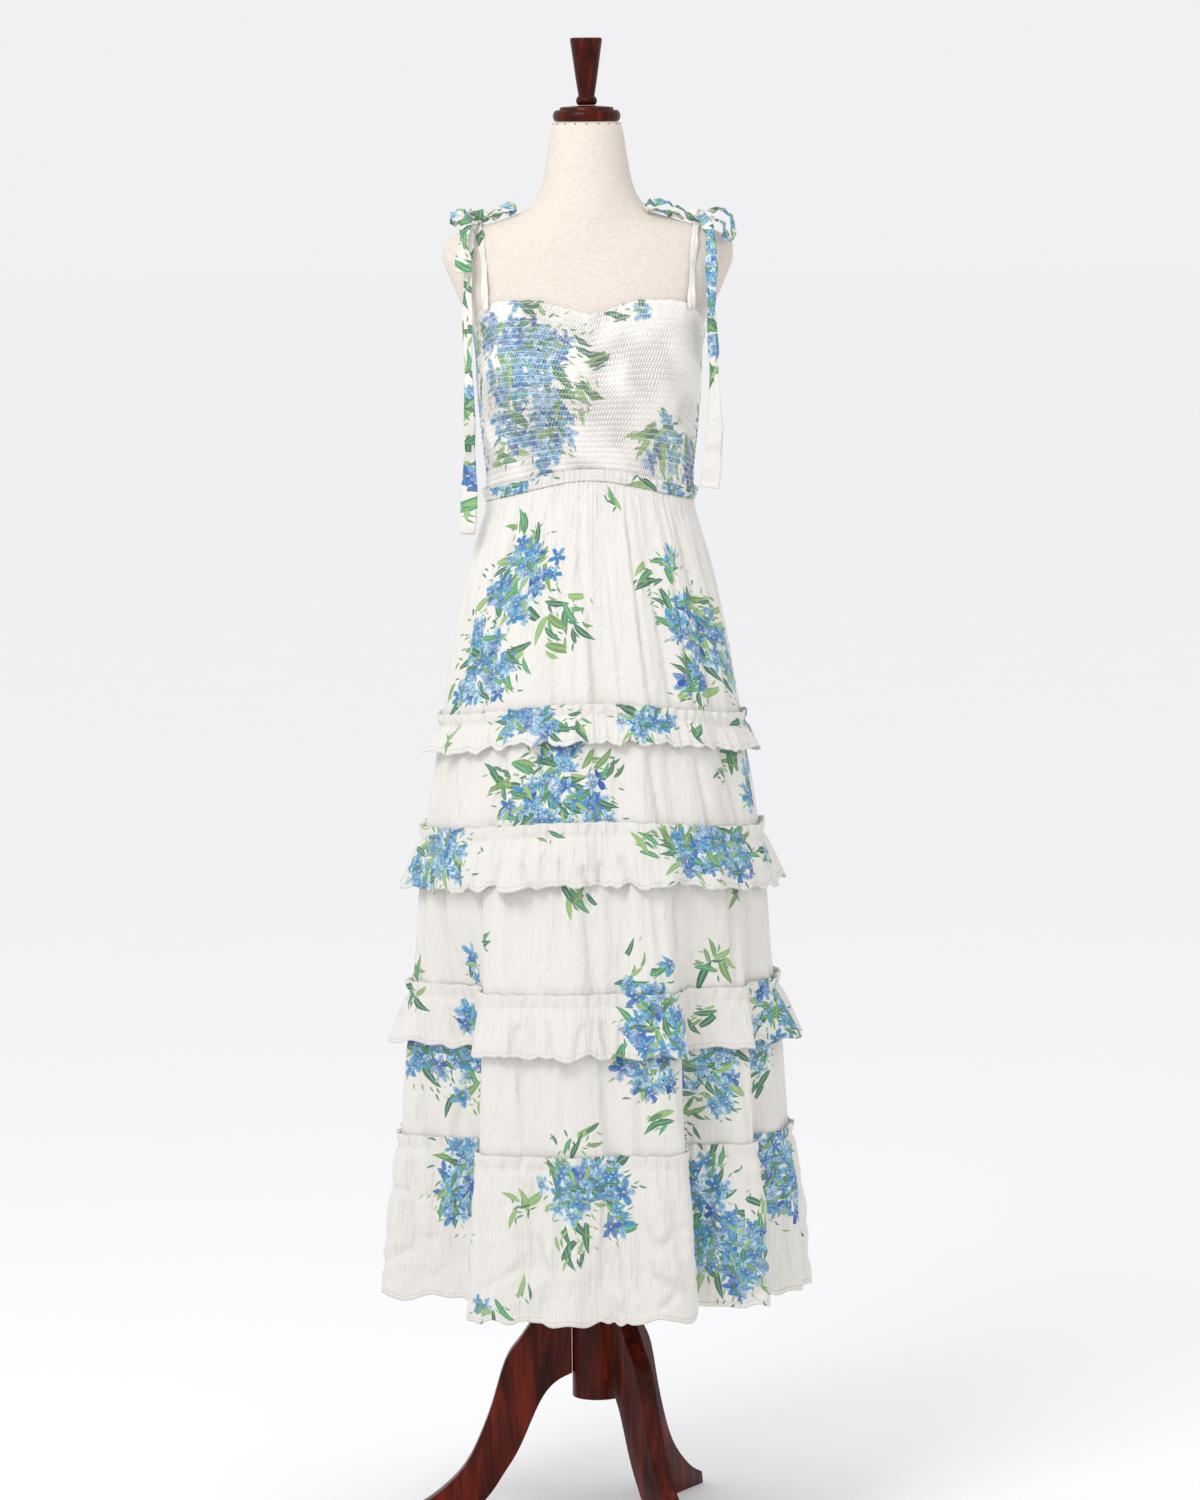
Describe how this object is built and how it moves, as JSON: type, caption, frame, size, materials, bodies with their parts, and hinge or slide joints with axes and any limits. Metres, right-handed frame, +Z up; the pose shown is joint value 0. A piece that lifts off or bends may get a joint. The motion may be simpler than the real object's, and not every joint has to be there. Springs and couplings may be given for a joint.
{
  "type": "tiered maxi dress with tie shoulders on a limbless dress form with a wooden tripod stand",
  "caption": "Sleeveless tiered maxi dress with shirred bodice, gathered ruffles, tie straps and scattered blue flower print, worn on a limbless dress form on a turned wooden stand",
  "frame": {"origin": "centre of the bounding box on the floor, under the stand", "axes": "+Z up along the pole, the front of the dress faces -Y, the viewer's right is +X"},
  "size_m": [0.5692, 0.5244, 1.9532],
  "materials": {
    "print_cloth": "off-white lightweight cotton and viscose with a scattered blue and green bouquet print",
    "form_linen": "cream linen-weave cover with small slubs",
    "form_wood": "plain board under the form",
    "stand_wood": "glossy red-brown mahogany stain"
  },
  "bodies": {
    "root": {"bodice_front": "print_cloth", "bodice_back": "print_cloth", "waist_heading_front": "print_cloth", "waist_heading_back": "print_cloth", "tier_1_front": "print_cloth", "tier_1_back": "print_cloth", "ruffle_1_front": "print_cloth", "ruffle_1_back": "print_cloth", "tier_2_front": "print_cloth", "tier_2_back": "print_cloth", "ruffle_2_front": "print_cloth", "ruffle_2_back": "print_cloth", "tier_3_front": "print_cloth", "tier_3_back": "print_cloth", "ruffle_3_front": "print_cloth", "ruffle_3_back": "print_cloth", "tier_4_front": "print_cloth", "tier_4_back": "print_cloth", "flounce_front": "print_cloth", "flounce_back": "print_cloth", "strap_front_left": "print_cloth", "strap_front_right": "print_cloth", "strap_back_left": "print_cloth", "strap_back_right": "print_cloth", "knot_left": "print_cloth", "knot_right": "print_cloth", "loop_inner_left": "print_cloth", "loop_inner_right": "print_cloth", "loop_outer_left": "print_cloth", "loop_outer_right": "print_cloth", "tail_long_left": "print_cloth", "tail_long_right": "print_cloth", "tail_short_left": "print_cloth", "tail_short_right": "print_cloth", "form_torso": "form_linen", "base_plate": "form_wood", "neck_flange": "stand_wood", "finial": "stand_wood", "hub": "stand_wood", "pole": "stand_wood", "leg_left": "stand_wood", "leg_front": "stand_wood", "leg_rear": "stand_wood"}
  },
  "joints": []
}
